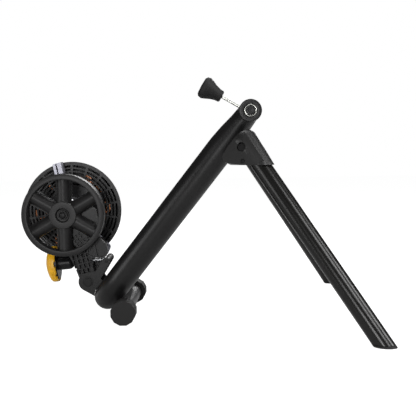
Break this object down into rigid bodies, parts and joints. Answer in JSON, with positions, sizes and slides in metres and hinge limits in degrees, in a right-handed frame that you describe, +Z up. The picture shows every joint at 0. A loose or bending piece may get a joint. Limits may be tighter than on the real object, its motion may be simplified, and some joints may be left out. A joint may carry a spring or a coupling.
{
  "type": "bike trainer",
  "caption": "Folding wheel-on bike trainer: bent tube frame with axle clamps, splayed folding legs, short rear foot bar and a tilting roller unit with flywheel, slotted cage and tension knob.",
  "frame": {"origin": "on the floor, under the middle of the open trainer's bounding box, 110 mm behind the clamped axle", "axes": "+Z up, +X towards the clamped axle and the splayed legs, +Y towards the drive side, so the flywheel and the clamp handle are at -Y"},
  "size_m": [0.6654, 0.6566, 0.4451],
  "materials": {
    "powder_black": "black powder coat on steel",
    "satin_black": "satin black paint on steel",
    "zinc_steel": "zinc-plated or turned steel",
    "chrome": "chrome plate",
    "aluminium": "cast or turned aluminium",
    "painted_cast_iron": "black painted cast iron",
    "moulded_black": "glass-filled black moulding",
    "rubber_black": "moulded black rubber",
    "copper_wire": "enamelled copper wire",
    "yellow_plastic": "yellow moulded plastic"
  },
  "bodies": {
    "frame": {"main_tube": "powder_black", "left_clamp_sleeve": "powder_black", "right_clamp_sleeve": "powder_black", "left_hinge_lug": "powder_black", "right_hinge_lug": "powder_black", "left_pivot_bolt": "zinc_steel", "right_pivot_bolt": "zinc_steel", "left_pivot_nut": "zinc_steel", "right_pivot_nut": "zinc_steel", "left_bracket_plate": "powder_black", "right_bracket_plate": "powder_black", "yoke_pivot_bolt": "zinc_steel", "yoke_pivot_nut": "zinc_steel", "foot_bar_saddle": "powder_black", "rear_foot_bar": "powder_black", "left_rear_cap": "rubber_black", "right_rear_cap": "rubber_black"},
    "left_leg": {"left_leg": "satin_black", "left_foot_cap": "rubber_black", "left_leg_knuckle": "moulded_black", "left_knuckle_screw": "zinc_steel"},
    "right_leg": {"right_leg": "satin_black", "right_foot_cap": "rubber_black", "right_leg_knuckle": "moulded_black", "right_knuckle_screw": "zinc_steel"},
    "resistance_unit": {"yoke": "moulded_black", "yoke_pivot_bush": "zinc_steel", "far_arm": "aluminium", "far_arm_screw_1": "zinc_steel", "far_arm_screw_2": "zinc_steel", "far_arm_screw_3": "zinc_steel", "near_bearing": "zinc_steel", "far_bearing": "zinc_steel", "stator_ring": "satin_black", "coil_winding": "copper_wire", "cage_front": "moulded_black", "cage_band": "moulded_black", "cage_back": "moulded_black"},
    "roller_set": {"roller": "aluminium", "shaft": "zinc_steel", "flywheel": "painted_cast_iron", "flywheel_nut": "zinc_steel", "brake_rotor": "zinc_steel"},
    "tension_link": {"tension_rod": "zinc_steel"},
    "thrust_sleeve": {"thrust_sleeve": "moulded_black"},
    "tension_knob": {"tension_knob": "yellow_plastic"},
    "left_cup": {"left_axle_cup": "zinc_steel"},
    "left_clamp_handle": {"left_plunger": "chrome", "left_plunger_plug": "moulded_black", "clamp_handle_rod": "chrome", "clamp_handle_knob": "rubber_black"},
    "right_cup": {"right_axle_cup": "zinc_steel"},
    "right_screw": {"right_spindle": "zinc_steel", "right_end_knob": "moulded_black"},
    "right_lock_ring": {"right_lock_ring": "satin_black"}
  },
  "joints": [
    {"name": "left_leg_fold", "type": "hinge", "parent": "frame", "child": "left_leg", "pos_m": [0.09835, -0.17197, 0.31541], "axis": [0.2995, 0.9316, -0.206], "range_deg": [0, 73]},
    {"name": "right_leg_fold", "type": "hinge", "parent": "frame", "child": "right_leg", "pos_m": [0.09835, 0.17197, 0.31541], "axis": [-0.2995, 0.9316, 0.206], "range_deg": [0, 73]},
    {"name": "unit_tilt", "type": "hinge", "parent": "frame", "child": "resistance_unit", "pos_m": [-0.1991, 0, 0.0652], "axis": [0, 1, 0], "range_deg": [0, 17]},
    {"name": "roller_spin", "type": "hinge", "parent": "resistance_unit", "child": "roller_set", "pos_m": [-0.2371, 0, 0.197], "axis": [0, 1, 0], "continuous": true},
    {"name": "tension_rod_swing", "type": "hinge", "parent": "frame", "child": "tension_link", "pos_m": [-0.1631, 0, 0.1045], "axis": [0, 1, 0], "range_deg": [0, 8.6]},
    {"name": "thrust_sleeve_slide", "type": "slide", "parent": "tension_link", "child": "thrust_sleeve", "axis": [0.9968, 0, 0.0802], "range_m": [0, 0.0117]},
    {"name": "tension_knob_turn", "type": "hinge", "parent": "thrust_sleeve", "child": "tension_knob", "pos_m": [-0.2371, 0, 0.09855], "axis": [0.9968, 0, 0.0802], "range_deg": [0, 1060]},
    {"name": "left_cup_slide", "type": "slide", "parent": "frame", "child": "left_cup", "axis": [0, 1, 0], "range_m": [0, 0.0141]},
    {"name": "clamp_handle_turn", "type": "hinge", "parent": "left_cup", "child": "left_clamp_handle", "pos_m": [0.1099, -0.0985, 0.3824], "axis": [0, 1, 0], "range_deg": [0, 70]},
    {"name": "right_cup_slide", "type": "slide", "parent": "frame", "child": "right_cup", "axis": [0, 1, 0], "range_m": [-0.004, 0.012]},
    {"name": "right_screw_turn", "type": "hinge", "parent": "right_cup", "child": "right_screw", "pos_m": [0.1099, 0.14, 0.3824], "axis": [0, 1, 0], "continuous": true},
    {"name": "right_lock_ring_turn", "type": "hinge", "parent": "frame", "child": "right_lock_ring", "pos_m": [0.1099, 0.1696, 0.3824], "axis": [0, 1, 0], "continuous": true}
  ],
  "couplings": [
    {"joint": "tension_rod_swing", "follows": "unit_tilt", "ratio": 0.5},
    {"joint": "thrust_sleeve_slide", "follows": "unit_tilt", "m_per_rad": 0.039},
    {"joint": "tension_knob_turn", "follows": "unit_tilt", "ratio": 61.26},
    {"joint": "left_cup_slide", "follows": "clamp_handle_turn", "m_per_rad": 0.01146}
  ]
}
